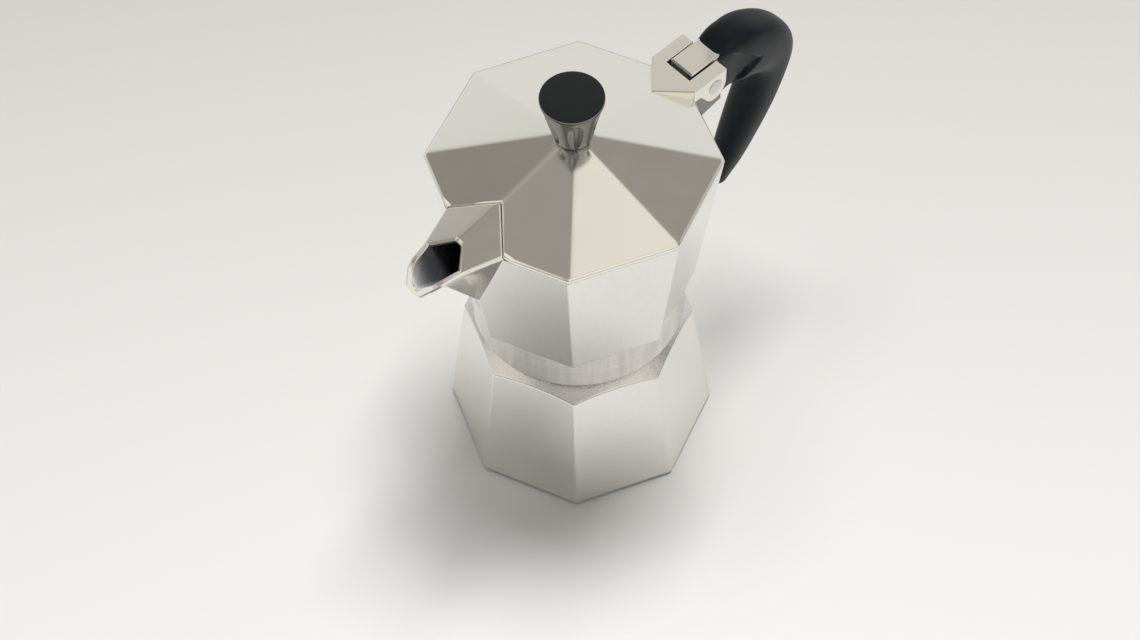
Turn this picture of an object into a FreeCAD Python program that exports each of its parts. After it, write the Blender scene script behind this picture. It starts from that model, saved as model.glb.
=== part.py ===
import FreeCAD, Part
import math
import os

# Stovetop moka pot, in millimetres, +Z up.
# The origin is the centre of the boiler's base on the surface it stands on.
# The handle and the lid hinge are on +X, the spout is on -X.
# Every octagon has a corner towards the handle and one towards the spout.

V = FreeCAD.Vector
up = V(0, 0, 1)
across = V(0, 1, 0)
sides = 8
flat_per_corner = math.cos(math.pi / sides)

# A cutting shape runs this far past the face it cuts
overrun = 1.0

# Boiler
base_corner_radius = 45.5
shoulder_corner_radius = 38.2
shoulder_height = 53.5
shoulder_rise = 0.5
base_edge_round = 2.0
facet_edge_round = 0.8
boiler_wall = 3.0
boiler_floor = 4.0
cavity_corner = 2.7
cavity_shoulder_drop = 3.5
cavity_shoulder_wall = 3.7
neck_radius = 31.7
neck_bore = 29.2
neck_rim = 70.0

# Screw thread between boiler and collector
thread_pitch = 3.0
thread_root_half = 0.85
thread_crest_half = 0.35
thread_sink = 0.3
male_crest = 32.75
male_start = 60.2
male_rise = 8.2
female_crest = 32.1
female_start = male_start + thread_pitch / 2
female_rise = 7.2

# Safety valve, in the middle of a side facet and square to it
valve_angle = 67.5
valve_height = 34.0
valve_shank = 5.0
valve_hex_flats = 13.0
valve_washer_radius = 7.2
valve_washer_thick = 1.0
valve_hex_end = 5.0
valve_nose_radius = 4.5
valve_nose_end = 7.5
valve_nose_hole = 1.4
valve_inner_end = -8.0
valve_bore = 3.0
valve_bore_end = 4.5
valve_seat_thick = 1.6
valve_seat_hole = 1.6
valve_seal_radius = 2.5
valve_seal_thick = 0.8
plunger_head_radius = 2.6
plunger_head_thick = 1.2
plunger_stem_radius = 1.3
plunger_end = 10.0
spring_radius = 2.1
spring_wire = 0.3
spring_turns = 6
hair_gap = 0.05

# Funnel
sheet = 0.8
funnel_rim_radius = 31.2
funnel_ledge = 1.0
disc_gap = 0.1
basket_radius = 28.7
basket_floor = 51.9
funnel_cone_end = 43.5
stem_radius = 4.4
stem_end = 7.0

# Perforated discs
hole_radius = 0.75
hole_ring_step = 3.4
disc_rings = 7

# Gasket and filter plate
gasket_inner = 25.2
gasket_outer = 31.6
gasket_bottom = neck_rim + sheet + hair_gap
gasket_thick = 3.0
gasket_top = gasket_bottom + gasket_thick
filter_radius = 27.8

# Collector
collar_radius = 35.2
collar_bottom = 60.7
collar_bore = 33.2
collar_chamfer = 0.6
collar_sink = 0.7
collector_bottom = 76.3
collector_bottom_radius = 38.0
collector_rim = 135.0
collector_rim_radius = 45.9
collector_wall = 2.6
collector_floor = 79.0
gasket_seat_radius = 31.9
gasket_seat_lead = 0.6
filter_seat_radius = 28.2
filter_dome_inset = 4.0
filter_dome_rise = 1.8
filter_roof = gasket_top + sheet + 2 * hair_gap
riser_radius = 6.0

# Riser column
riser_bore = 3.4
riser_foot_radius = 8.2
riser_foot_thick = 1.2
riser_low_radius = 6.8
riser_low_rise = 3.5
riser_high_radius = 5.1
riser_top = 126.5
riser_crown_drop = 4.0
riser_crown_edge = 0.7
riser_cap_thick = 3.2
riser_cap_drop = 5.0
riser_window_width = 4.4
riser_window_low = 114.0
riser_window_high = 120.5

# Spout: stations along -X, each a kite of edge half width, edge height, ridge height and keel height
spout_outer = [
    (-40.9, 12.7, 136.1, 139.2, 99.5),
    (-47.0, 10.5, 136.05, 138.2, 109.7),
    (-53.6, 8.2, 136.0, 136.0, 120.6),
    (-59.4, 7.1, 135.0, 135.0, 125.2),
    (-62.3, 5.9, 133.5, 133.5, 127.2),
    (-65.3, 3.3, 130.4, 130.4, 128.8),
]
spout_channel = [
    (-36.0, 10.6, 135.6, 138.3, 104.0),
    (-40.9, 10.6, 134.75, 137.4, 106.5),
    (-47.0, 8.5, 134.0, 136.4, 113.8),
    (-53.6, 6.3, 134.2, 135.5, 124.0),
    (-59.4, 5.2, 135.6, 135.8, 128.2),
    (-62.0, 3.9, 134.4, 134.6, 129.8),
    (-63.8, 1.9, 132.6, 132.8, 130.5),
]
mouth_half_outline = [(-47.0, 1.3), (-53.4, 6.3), (-59.4, 5.2), (-62.0, 3.9), (-63.8, 1.9)]
mouth_cut_low = 134.2
roof_apex_x = -30.1
roof_apex_z = 141.1
roof_thick = 1.8

# Lid
lid_bottom = 135.2
lid_edge = 136.7
lid_radius = 46.0
lid_slope = 0.264
lid_flat_radius = 5.5
lid_wall = 1.7
lid_crown_wall = 1.9
lid_crown_margin = 0.5
lid_inner_radius = 42.6
lid_screw_hole = 2.1
notch_gap = 0.45
notch_reach = 3

# Lid hinge
pin_x = 51.0
pin_z = 135.5
pin_radius = 1.5
pin_running_gap = 0.06
pin_half_length = 9.6
dimple_radius = 0.8
dimple_depth = 0.6
ear_round = 4.9
plate_top = 140.5
plate_apex_x = 32.5
plate_shoulder_x = 42.2
plate_half_width = 9.8
slot_half_width = 5.1
slot_round = 8.4

# Lug of the collector, between the ears, with the tongue that the handle sits on
lug_half_width = 4.2
lug_end = 59.25
lug_top = 141.0
lug_inner_x = 46.3
lug_corner = 0.8
lug_foot = 114.5
lug_foot_rise = 4.0
lug_tuck = 0.5
tongue_half_width = 2.4
tongue_low = 125.0
tongue_high = 137.0
tongue_end = 71.0
socket_gap = 0.1

# Handle: stations along the centre line, each x, z, half depth and half width
handle_stations = [
    (59.4, 131.0, 10.0, 4.2),
    (66.0, 132.4, 10.9, 6.6),
    (73.0, 130.4, 10.5, 7.8),
    (80.0, 125.4, 9.8, 7.6),
    (84.2, 118.5, 9.1, 7.0),
    (83.4, 110.0, 7.8, 6.8),
    (79.6, 100.5, 6.8, 6.9),
    (75.2, 91.2, 6.0, 6.5),
    (71.0, 82.5, 5.3, 5.7),
    (67.3, 75.0, 4.5, 4.7),
    (64.2, 69.2, 3.6, 3.6),
    (63.0, 67.0, 2.7, 2.7),
    (62.4, 65.9, 1.3, 1.3),
]
handle_squareness = 2.8
handle_section_points = 20
handle_pin_x = 65.5
handle_pin_z = 131.0
handle_pin_radius = 1.5
handle_pin_half_length = 5.4

# Knob
knob_top = 166.2
knob_radius = 9.9
knob_neck_radius = 9.6
knob_foot_radius = 5.8
knob_disc = 2.0
knob_disc_flare = 0.6
knob_top_chamfer = 0.5
knob_flutes = 6
knob_turn = -6.0
flute_radius = 2.4
flute_low_depth = 0.1
flute_high_depth = 1.3
flute_high = 161.0
insert_radius = 3.0
insert_length = 8.0
insert_hole_spare = 1.5
screw_radius = 1.9
screw_end = 156.0
screw_head_radius = 3.4
screw_head_thick = 2.0
screw_slot_length = 5.0
screw_slot_width = 0.9
screw_slot_depth = 1.0
washer_radius = 4.6
washer_thick = 0.8


# Shared shapes

def octagon(corner_radius, z):
    corners = []
    for k in range(sides + 1):
        turn = 2 * math.pi * (k % sides) / sides
        corners.append(V(corner_radius * math.cos(turn), corner_radius * math.sin(turn), z))
    return Part.makePolygon(corners)


def octagon_solid(rings):
    return Part.makeLoft([octagon(radius, z) for radius, z in rings], True, True)


def turned(outline):
    # Solid of revolution about Z of a closed (radius, z) outline.
    points = [V(r, 0, z) for r, z in outline]
    face = Part.Face(Part.makePolygon(points + points[:1]))
    return face.revolve(V(0, 0, 0), up, 360)


def rod(radius, start, end):
    return Part.makeCylinder(radius, (end - start).Length, start, end - start)


def upright_prism(outline, low, high):
    points = [V(x, y, low) for x, y in outline]
    return Part.Face(Part.makePolygon(points + points[:1])).extrude(V(0, 0, high - low))


def cross_prism(outline, half_width):
    # Prism along Y, centred on Y = 0, of an outline given as (x, z).
    points = [V(x, -half_width, z) for x, z in outline]
    return Part.Face(Part.makePolygon(points + points[:1])).extrude(V(0, 2 * half_width, 0))


def polyhedron(faces):
    shell = Part.Shell([Part.Face(Part.makePolygon(list(f) + [f[0]])) for f in faces])
    shell.sewShape()
    return Part.Solid(shell)


def thread_ridge(root_radius, crest_radius, start, rise):
    # Rounded-V ridge on a right-handed helix, sunk a little into the wall that carries it.
    outward = 1 if crest_radius > root_radius else -1
    sunk = root_radius - outward * thread_sink
    outline = [
        V(sunk, 0, start - thread_root_half),
        V(crest_radius, 0, start - thread_crest_half),
        V(crest_radius, 0, start + thread_crest_half),
        V(sunk, 0, start + thread_root_half),
    ]
    helix = Part.makeHelix(thread_pitch, rise, root_radius)
    helix.translate(V(0, 0, start))
    return Part.Wire(helix.Edges).makePipeShell([Part.makePolygon(outline + outline[:1])], True, True)


def perforated_disc(radius, bottom):
    holes = []
    for ring in range(disc_rings + 1):
        count = max(1, 6 * ring)
        for k in range(count):
            turn = 2 * math.pi * k / count
            at = V(ring * hole_ring_step * math.cos(turn), ring * hole_ring_step * math.sin(turn), bottom)
            holes.append(Part.Wire(Part.makeCircle(hole_radius, at)))
    rim = Part.Wire(Part.makeCircle(radius, V(0, 0, bottom)))
    face = Part.makeFace([rim] + holes, "Part::FaceMakerBullseye")
    return face.extrude(V(0, 0, sheet))


def save(name, shape):
    solid = shape.removeSplitter()
    if len(solid.Solids) == 1:
        solid = solid.Solids[0]
    print(name, "solids", len(solid.Solids), "valid", solid.isValid(), "volume", round(solid.Volume, 1))
    solid.exportStep("parts/" + name + ".step")


# Boiler

def boiler_corner_radius(z):
    return base_corner_radius - (base_corner_radius - shoulder_corner_radius) * z / shoulder_height


def shoulder_z(radius):
    return shoulder_height + (shoulder_corner_radius - radius) * shoulder_rise


def valve_frame():
    # Origin on the facet, local Z along the facet's outward normal.
    lean = (base_corner_radius - shoulder_corner_radius) * flat_per_corner / shoulder_height
    tilt = math.degrees(math.atan(lean))
    reach = boiler_corner_radius(valve_height) * flat_per_corner
    turn = math.radians(valve_angle)
    seat = V(reach * math.cos(turn), reach * math.sin(turn), valve_height)
    lay_over = FreeCAD.Rotation(across, 90 - tilt)
    swing = FreeCAD.Rotation(up, valve_angle)
    return FreeCAD.Placement(seat, swing.multiply(lay_over))


def make_boiler():
    loft_top = shoulder_z(neck_radius) + overrun
    body = octagon_solid([(base_corner_radius, 0), (boiler_corner_radius(loft_top), loft_top)])
    upright = [e for e in body.Edges if abs(e.Vertexes[0].Z - e.Vertexes[1].Z) > 1]
    body = body.makeFillet(facet_edge_round, upright)
    under = [e for e in body.Edges if max(v.Z for v in e.Vertexes) < 0.01]
    body = body.makeFillet(base_edge_round, under)
    wide = 2 * base_corner_radius
    crown = [(0, -overrun), (wide, -overrun), (wide, shoulder_z(wide)), (neck_radius, shoulder_z(neck_radius)),
             (0, shoulder_z(neck_radius))]
    body = body.common(turned(crown))
    body = body.fuse(rod(neck_radius, V(0, 0, shoulder_height), V(0, 0, neck_rim)))
    body = body.fuse(thread_ridge(neck_radius, male_crest, male_start, male_rise))
    low_reach = boiler_corner_radius(boiler_floor) * flat_per_corner - boiler_wall
    high = shoulder_height - cavity_shoulder_drop
    high_reach = boiler_corner_radius(high) * flat_per_corner - cavity_shoulder_wall
    cavity = [(0, boiler_floor), (low_reach - cavity_corner, boiler_floor),
              (low_reach, boiler_floor + cavity_corner), (high_reach, high), (neck_bore, shoulder_height),
              (neck_bore, neck_rim + overrun), (0, neck_rim + overrun)]
    body = body.cut(turned(cavity))
    hole = rod(valve_shank + hair_gap, V(0, 0, valve_inner_end), V(0, 0, valve_nose_end))
    hole.Placement = valve_frame()
    return body.cut(hole)


# Safety valve

def make_valve():
    frame = valve_frame()

    def along(radius, low, high):
        return rod(radius, V(0, 0, low), V(0, 0, high))

    hex_corner = valve_hex_flats / 2 / math.cos(math.pi / 6)
    hexagon = [V(hex_corner * math.cos(k * math.pi / 3), hex_corner * math.sin(k * math.pi / 3),
                 valve_washer_thick) for k in range(6)]
    head = Part.Face(Part.makePolygon(hexagon + hexagon[:1]))
    head = head.extrude(V(0, 0, valve_hex_end - valve_washer_thick))
    body = along(valve_shank, valve_inner_end, valve_washer_thick).fuse(head)
    body = body.fuse(along(valve_nose_radius, valve_hex_end, valve_nose_end))
    body = body.cut(along(valve_bore, valve_inner_end, valve_bore_end))
    body = body.cut(along(valve_nose_hole, valve_bore_end, valve_nose_end))
    washer = along(valve_washer_radius, 0, valve_washer_thick)
    washer = washer.cut(along(valve_shank + hair_gap, 0, valve_washer_thick))
    seat_end = valve_inner_end + valve_seat_thick
    retainer = along(valve_bore, valve_inner_end, seat_end)
    retainer = retainer.cut(along(valve_seat_hole, valve_inner_end, seat_end))
    seal_start = seat_end + hair_gap
    head_start = seal_start + valve_seal_thick
    head_end = head_start + plunger_head_thick
    seal = along(valve_seal_radius, seal_start, head_start)
    plunger = along(plunger_head_radius, head_start, head_end)
    plunger = plunger.fuse(along(plunger_stem_radius, head_end, plunger_end))
    low = head_end + hair_gap + spring_wire
    high = valve_bore_end - hair_gap - spring_wire
    coil = Part.makeHelix((high - low) / spring_turns, high - low, spring_radius)
    coil.translate(V(0, 0, low))
    wire = Part.Wire(Part.makeCircle(spring_wire, V(spring_radius, 0, low), across))
    spring = Part.Wire(coil.Edges).makePipeShell([wire], True, True)
    pieces = {"valve_body": body, "valve_washer": washer, "valve_retainer": retainer,
              "valve_seal": seal, "valve_plunger": plunger, "valve_spring": spring}
    for piece in pieces.values():
        piece.Placement = frame
    return pieces


# Funnel

def make_funnel():
    rim_top = neck_rim + sheet
    wall_inner = basket_radius - sheet
    half = sheet / 2
    return turned([
        (wall_inner, rim_top), (funnel_rim_radius, rim_top), (funnel_rim_radius, neck_rim),
        (basket_radius, neck_rim), (basket_radius, basket_floor - half), (stem_radius + half, funnel_cone_end),
        (stem_radius, stem_end), (stem_radius - sheet, stem_end), (stem_radius - half, funnel_cone_end + half),
        (wall_inner - funnel_ledge, basket_floor), (wall_inner, basket_floor),
    ])


# Collector

def collector_corner_radius(z):
    widen = (collector_rim_radius - collector_bottom_radius) / (collector_rim - collector_bottom)
    return collector_bottom_radius + widen * (z - collector_bottom)


def kite(station):
    x, half, edge, ridge, keel = station
    corners = [V(x, 0, keel), V(x, half, edge), V(x, 0, ridge), V(x, -half, edge)]
    return Part.makePolygon(corners + corners[:1])


def spout_roof():
    # Three-cornered roof plate that reaches in over the pot's mouth, up to the lid's notch.
    x, half, edge, ridge = spout_outer[0][:4]
    apex, mid = V(roof_apex_x, 0, roof_apex_z), V(x, 0, ridge)
    left, right = V(x, half, edge), V(x, -half, edge)
    drop = V(0, 0, -roof_thick)
    low_apex, low_left, low_right, low_mid = apex + drop, left + drop, right + drop, mid + drop
    return polyhedron([
        (apex, mid, left), (apex, right, mid), (low_apex, low_left, low_mid), (low_apex, low_mid, low_right),
        (apex, left, low_left, low_apex), (apex, low_apex, low_right, right),
        (left, mid, low_mid, low_left), (mid, right, low_right, low_mid),
    ])


def lug():
    inside = collector_wall / 2
    outline = [
        (collector_corner_radius(lug_foot) - inside, lug_foot), (lug_end, lug_foot + lug_foot_rise),
        (lug_end, lug_top), (lug_inner_x + lug_corner, lug_top), (lug_inner_x, lug_top - lug_corner),
        (lug_inner_x, collector_rim), (collector_rim_radius - inside, collector_rim - lug_tuck),
    ]
    block = cross_prism(outline, lug_half_width)
    root = lug_end - overrun
    tongue = cross_prism([(root, tongue_low), (tongue_end, tongue_low), (tongue_end, tongue_high),
                          (root, tongue_high)], tongue_half_width)
    return block.fuse(tongue)


def make_collector():
    body = octagon_solid([(collector_bottom_radius, collector_bottom), (collector_rim_radius, collector_rim)])
    collar_top = collector_bottom + collar_sink
    body = body.fuse(turned([
        (0, collar_bottom), (collar_radius - collar_chamfer, collar_bottom),
        (collar_radius, collar_bottom + collar_chamfer), (collar_radius, collar_top), (0, collar_top),
    ]))
    body = body.fuse(Part.makeLoft([kite(s) for s in spout_outer], True, True))
    wall_at_corner = collector_wall / flat_per_corner
    body = body.cut(octagon_solid([
        (collector_corner_radius(collector_floor) - wall_at_corner, collector_floor),
        (collector_rim_radius - wall_at_corner, collector_rim),
    ]))
    body = body.fuse(spout_roof())
    body = body.cut(Part.makeLoft([kite(s) for s in spout_channel], True, True))
    mouth = mouth_half_outline + [(x, -y) for x, y in reversed(mouth_half_outline)]
    body = body.cut(upright_prism(mouth, mouth_cut_low, roof_apex_z))
    body = body.fuse(lug())
    seat = gasket_top + hair_gap
    dome = filter_roof + filter_dome_rise
    body = body.cut(turned([
        (0, collar_bottom - overrun), (collar_bore, collar_bottom - overrun), (collar_bore, gasket_bottom),
        (gasket_seat_radius, gasket_bottom + gasket_seat_lead), (gasket_seat_radius, seat),
        (filter_seat_radius, seat), (filter_seat_radius, filter_roof),
        (filter_seat_radius - filter_dome_inset, filter_roof), (riser_radius, dome), (0, dome),
    ]))
    body = body.fuse(thread_ridge(collar_bore, female_crest, female_start, female_rise))
    body = body.cut(rod(riser_radius, V(0, 0, filter_roof), V(0, 0, collector_floor + overrun)))
    pin_half = V(0, lug_half_width + overrun, 0)
    pin_at = V(pin_x, 0, pin_z)
    body = body.cut(rod(pin_radius, pin_at - pin_half, pin_at + pin_half))
    cross_at = V(handle_pin_x, 0, handle_pin_z)
    return body.cut(rod(handle_pin_radius, cross_at - pin_half, cross_at + pin_half))


def make_riser():
    foot = filter_roof + filter_dome_rise
    column = turned([
        (riser_bore, foot), (riser_radius, foot), (riser_radius, collector_floor),
        (riser_foot_radius, collector_floor), (riser_foot_radius, collector_floor + riser_foot_thick),
        (riser_low_radius, collector_floor + riser_low_rise),
        (riser_high_radius, riser_top - riser_crown_drop),
        (riser_bore, riser_top - riser_crown_edge), (0, riser_top), (0, riser_top - riser_cap_thick),
        (riser_bore, riser_top - riser_cap_drop),
    ])
    window = Part.makeBox(riser_window_width, 4 * riser_radius, riser_window_high - riser_window_low,
                          V(-riser_window_width / 2, -2 * riser_radius, riser_window_low))
    return column.cut(window)


# Handle

def handle_section(station, direction):
    # Rounded square across the centre line, by the superellipse formula.
    x, z, depth, width = station
    outward = V(-direction.z, 0, direction.x)
    power = 2 / handle_squareness
    points = []
    for k in range(handle_section_points):
        turn = 2 * math.pi * (k + 0.5) / handle_section_points
        c, s = math.cos(turn), math.sin(turn)
        u = math.copysign(abs(c) ** power, c) * depth
        v = math.copysign(abs(s) ** power, s) * width
        points.append(V(x, 0, z) + outward * u + V(0, v, 0))
    curve = Part.BSplineCurve()
    curve.interpolate(Points=points, PeriodicFlag=True)
    return Part.Wire(curve.toShape())


def make_handle():
    centres = [V(s[0], 0, s[1]) for s in handle_stations]
    directions = [V(1, 0, 0)]
    for before, after in zip(centres, centres[2:]):
        directions.append((after - before).normalize())
    directions.append((centres[-1] - centres[-2]).normalize())
    sections = [handle_section(s, d) for s, d in zip(handle_stations, directions)]
    grip = Part.makeLoft(sections, True, False)
    gap = socket_gap
    start = handle_stations[0][0] - overrun
    socket = cross_prism([(start, tongue_low - gap), (tongue_end + gap, tongue_low - gap),
                          (tongue_end + gap, tongue_high + gap), (start, tongue_high + gap)],
                         tongue_half_width + gap)
    grip = grip.cut(socket)
    reach = V(0, 2 * handle_pin_half_length, 0)
    at = V(handle_pin_x, 0, handle_pin_z)
    return grip.cut(rod(handle_pin_radius, at - reach, at + reach))


# Lid

def lid_z(radius):
    return lid_edge + (lid_radius - radius) * lid_slope


def hinge_leaf():
    # House-shaped plate with two ears that run down beside the lug and round the pin.
    end = pin_x + ear_round
    house = [(plate_apex_x, 0), (plate_shoulder_x, plate_half_width), (end, plate_half_width),
             (end, -plate_half_width), (plate_shoulder_x, -plate_half_width)]
    leaf = upright_prism(house, lid_bottom, plate_top)
    at = V(pin_x, 0, pin_z)
    reach = V(0, plate_half_width, 0)
    leaf = leaf.fuse(rod(ear_round, at - reach, at + reach))
    slot = V(0, slot_half_width, 0)
    return leaf.cut(rod(slot_round, at - slot, at + slot))


def make_lid():
    flat = lid_z(lid_flat_radius)
    body = octagon_solid([(lid_radius, lid_bottom), (lid_radius, lid_edge), (lid_flat_radius, flat)])
    at = V(pin_x, 0, pin_z)
    slot = V(0, slot_half_width, 0)
    body = body.cut(rod(slot_round, at - slot, at + slot))
    body = body.fuse(hinge_leaf())
    inner_top = flat - lid_crown_wall
    body = body.cut(octagon_solid([
        (lid_inner_radius, lid_bottom - overrun), (lid_inner_radius, lid_z(lid_inner_radius) - lid_wall),
        (lid_flat_radius + lid_crown_margin, inner_top),
    ]))
    x, half = spout_outer[0][:2]
    run = roof_apex_x - x
    slack = notch_gap * math.hypot(run, half) / half
    start = roof_apex_x + slack
    back = start - notch_reach * run
    notch = [(start, 0), (back, notch_reach * half), (back, -notch_reach * half)]
    body = body.cut(upright_prism(notch, lid_bottom - overrun, flat))
    reach = V(0, 2 * plate_half_width, 0)
    body = body.cut(rod(pin_radius + pin_running_gap, at - reach, at + reach))
    return body.cut(rod(lid_screw_hole, V(0, 0, inner_top - overrun), V(0, 0, flat + overrun)))


def make_hinge_pin():
    at = V(pin_x, 0, pin_z)
    reach = V(0, pin_half_length, 0)
    pin = rod(pin_radius, at - reach, at + reach)
    for side in (-1, 1):
        dimple = Part.makeCone(dimple_radius, 0, dimple_depth, at + reach * side, across * -side)
        pin = pin.cut(dimple)
    return pin


def make_handle_pin():
    at = V(handle_pin_x, 0, handle_pin_z)
    reach = V(0, handle_pin_half_length, 0)
    return rod(handle_pin_radius, at - reach, at + reach)


# Knob and its fixing

def make_knob():
    foot = lid_z(lid_flat_radius)
    disc = knob_top - knob_disc
    body = turned([
        (0, foot), (knob_foot_radius, foot), (knob_neck_radius, disc - knob_disc_flare), (knob_radius, disc),
        (knob_radius, knob_top - knob_top_chamfer), (knob_radius - knob_top_chamfer, knob_top), (0, knob_top),
    ])
    # each flute is shallow at the foot, deepens upwards and ends in a ball under the disc
    widening = (knob_neck_radius - knob_foot_radius) / (disc - knob_disc_flare - foot)
    high_radius = knob_foot_radius + widening * (flute_high - foot)
    for k in range(knob_flutes):
        turn = math.radians(knob_turn) + 2 * math.pi * k / knob_flutes
        out = V(math.cos(turn), math.sin(turn), 0)
        low = out * (knob_foot_radius + flute_radius - flute_low_depth) + V(0, 0, foot - overrun)
        high = out * (high_radius + flute_radius - flute_high_depth) + V(0, 0, flute_high)
        body = body.cut(rod(flute_radius, low, high)).cut(Part.makeSphere(flute_radius, high))
    hole_end = foot + insert_length + insert_hole_spare
    return body.cut(rod(insert_radius, V(0, 0, foot - overrun), V(0, 0, hole_end)))


def make_knob_fixing():
    foot = lid_z(lid_flat_radius)
    under = foot - lid_crown_wall
    insert = rod(insert_radius, V(0, 0, foot), V(0, 0, foot + insert_length))
    insert = insert.cut(rod(screw_radius, V(0, 0, foot), V(0, 0, foot + insert_length)))
    head_top = under - washer_thick
    screw = rod(screw_radius, V(0, 0, head_top), V(0, 0, screw_end))
    screw = screw.fuse(rod(screw_head_radius, V(0, 0, head_top - screw_head_thick), V(0, 0, head_top)))
    slot = Part.makeBox(screw_slot_length, screw_slot_width, screw_slot_depth,
                        V(-screw_slot_length / 2, -screw_slot_width / 2, head_top - screw_head_thick))
    screw = screw.cut(slot)
    washer = rod(washer_radius, V(0, 0, head_top), V(0, 0, under))
    washer = washer.cut(rod(lid_screw_hole, V(0, 0, head_top), V(0, 0, under)))
    return {"knob_insert": insert, "knob_screw": screw, "knob_washer": washer}


os.makedirs("parts", exist_ok=True)
save("boiler", make_boiler())
for name, piece in make_valve().items():
    save(name, piece)
save("funnel", make_funnel())
save("funnel_disc", perforated_disc(basket_radius - sheet - disc_gap, basket_floor))
save("gasket", turned([(gasket_inner, gasket_bottom), (gasket_outer, gasket_bottom),
                       (gasket_outer, gasket_top), (gasket_inner, gasket_top)]))
save("filter_plate", perforated_disc(filter_radius, gasket_top))
save("collector", make_collector())
save("riser_column", make_riser())
save("handle", make_handle())
save("handle_pin", make_handle_pin())
save("lid", make_lid())
save("hinge_pin", make_hinge_pin())
save("knob", make_knob())
for name, piece in make_knob_fixing().items():
    save(name, piece)
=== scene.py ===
import bmesh
import bpy
import numpy as np
from mathutils import Matrix, Vector


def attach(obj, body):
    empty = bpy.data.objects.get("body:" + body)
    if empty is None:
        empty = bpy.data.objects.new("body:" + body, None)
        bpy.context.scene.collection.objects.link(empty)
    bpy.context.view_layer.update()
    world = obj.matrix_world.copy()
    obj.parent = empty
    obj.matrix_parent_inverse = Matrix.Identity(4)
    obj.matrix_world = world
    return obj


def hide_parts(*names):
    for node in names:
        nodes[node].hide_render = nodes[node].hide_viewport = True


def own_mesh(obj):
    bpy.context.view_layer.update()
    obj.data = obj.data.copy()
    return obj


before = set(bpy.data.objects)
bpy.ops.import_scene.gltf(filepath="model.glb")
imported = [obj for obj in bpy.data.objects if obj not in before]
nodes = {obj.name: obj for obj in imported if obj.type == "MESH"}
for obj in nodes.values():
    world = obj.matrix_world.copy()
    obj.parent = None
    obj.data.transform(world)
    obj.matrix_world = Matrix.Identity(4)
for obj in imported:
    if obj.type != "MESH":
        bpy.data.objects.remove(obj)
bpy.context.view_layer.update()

# Moka pot: sizes in millimetres, turned into metres when a mesh is made
mm = 0.001
eighth = np.pi / 8
link = bpy.context.scene.collection.objects.link
join = np.concatenate
print("frame loaded:", len(nodes), "nodes")


# colour and node helpers

def linear(hexColour):
    # sRGB hex to linear light
    c = np.array([int(hexColour[i:i + 2], 16) for i in (1, 3, 5)]) / 255
    out = np.where(c <= 0.04045, c / 12.92, ((c + 0.055) / 1.055) ** 2.4)
    return (*out.tolist(), 1)


def addNode(tree, kind, settings=None, links=None):
    # A key that names an input sets that socket, any other key sets the node itself. A link comes from a
    # socket, or from a node's first output.
    node = tree.nodes.new("ShaderNode" + kind)
    for key, value in (settings or {}).items():
        if isinstance(key, int) or key in node.inputs:
            node.inputs[key].default_value = value
        else:
            setattr(node, key, value)
    for key, source in (links or {}).items():
        tree.links.new(getattr(source, "outputs", [source])[0], node.inputs[key])
    return node


def newMaterial(name, shader):
    # a material with its Principled shader and the Object coordinates
    mat = bpy.data.materials.new(name)
    mat.use_nodes = True
    tree = mat.node_tree
    tree.nodes.clear()
    bsdf = addNode(tree, "BsdfPrincipled", shader)
    addNode(tree, "OutputMaterial", links={"Surface": bsdf})
    where = addNode(tree, "TexCoord").outputs["Object"]
    return mat, tree, bsdf, where


def perMm(size):
    # texture scale for a feature of this size in millimetres
    return 1 / (size * mm)


# the part of its range that a noise mostly fills
noiseSpan = (0.3, 0.7)


def grainMaterial(name, shader, dark, light, grain, cloud, rough, bump, share=0.5, depth=0.03, lip=None):
    # colour, roughness and bump follow a fine and a coarse noise, each stretched to its sizes in millimetres
    mat, tree, bsdf, where = newMaterial(name, shader)
    noises = []
    for sizes, detail in ((grain, 3), (cloud, 2)):
        scale = [perMm(s) for s in np.broadcast_to(sizes, 3)]
        stretched = addNode(tree, "Mapping", {"Scale": scale}, {"Vector": where})
        noises.append(addNode(tree, "TexNoise", {"Scale": 1, "Detail": detail}, {"Vector": stretched}))
    both = addNode(tree, "Mix", {"data_type": "FLOAT", "Factor": share}, {2: noises[0], 3: noises[1]})
    tint = addNode(tree, "Mix", {"data_type": "RGBA", 6: linear(dark), 7: linear(light)}, {0: both})
    if lip:
        # painted light, paler towards the lip: colour, and the X where it starts and ends
        pale, start, end = lip
        x = addNode(tree, "SeparateXYZ", links={0: where})
        ramp = {"interpolation_type": "SMOOTHSTEP", 1: start * mm, 2: end * mm}
        deep = addNode(tree, "MapRange", ramp, {0: x})
        tint = addNode(tree, "Mix", {"data_type": "RGBA", 6: linear(pale)}, {0: deep, 7: tint.outputs[2]})
    blur = addNode(tree, "MapRange", {1: noiseSpan[0], 2: noiseSpan[1], 3: rough[0], 4: rough[1]}, {0: both})
    tooth = addNode(tree, "Bump", {"Strength": bump, "Distance": depth * mm}, {"Height": noises[0]})
    for key, source in (("Base Color", tint.outputs[2]), ("Roughness", blur.outputs[0]),
                        ("Normal", tooth.outputs[0])):
        tree.links.new(source, bsdf.inputs[key])
    return mat


# materials

metal = {"Metallic": 1}

# Cast aluminium, polished along the pot's height: clear reflections drawn out by faint upright brushing.
facetMetal = grainMaterial(
    "cast aluminium polished", metal, "#E4E2DE", "#F0EEEB",
    grain=(0.9, 0.9, 24), cloud=14, share=0.35, rough=(0.05, 0.11), bump=0.5, depth=0.04)

# Cast aluminium, tumbled: clear reflections broken up by a fine orange peel.
boilerMetal = grainMaterial(
    "cast aluminium tumbled", metal, "#E2E0DC", "#F0EEEB",
    grain=(0.7, 0.7, 0.9), cloud=12, share=0.3, rough=(0.06, 0.13), bump=0.6, depth=0.05)

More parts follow.
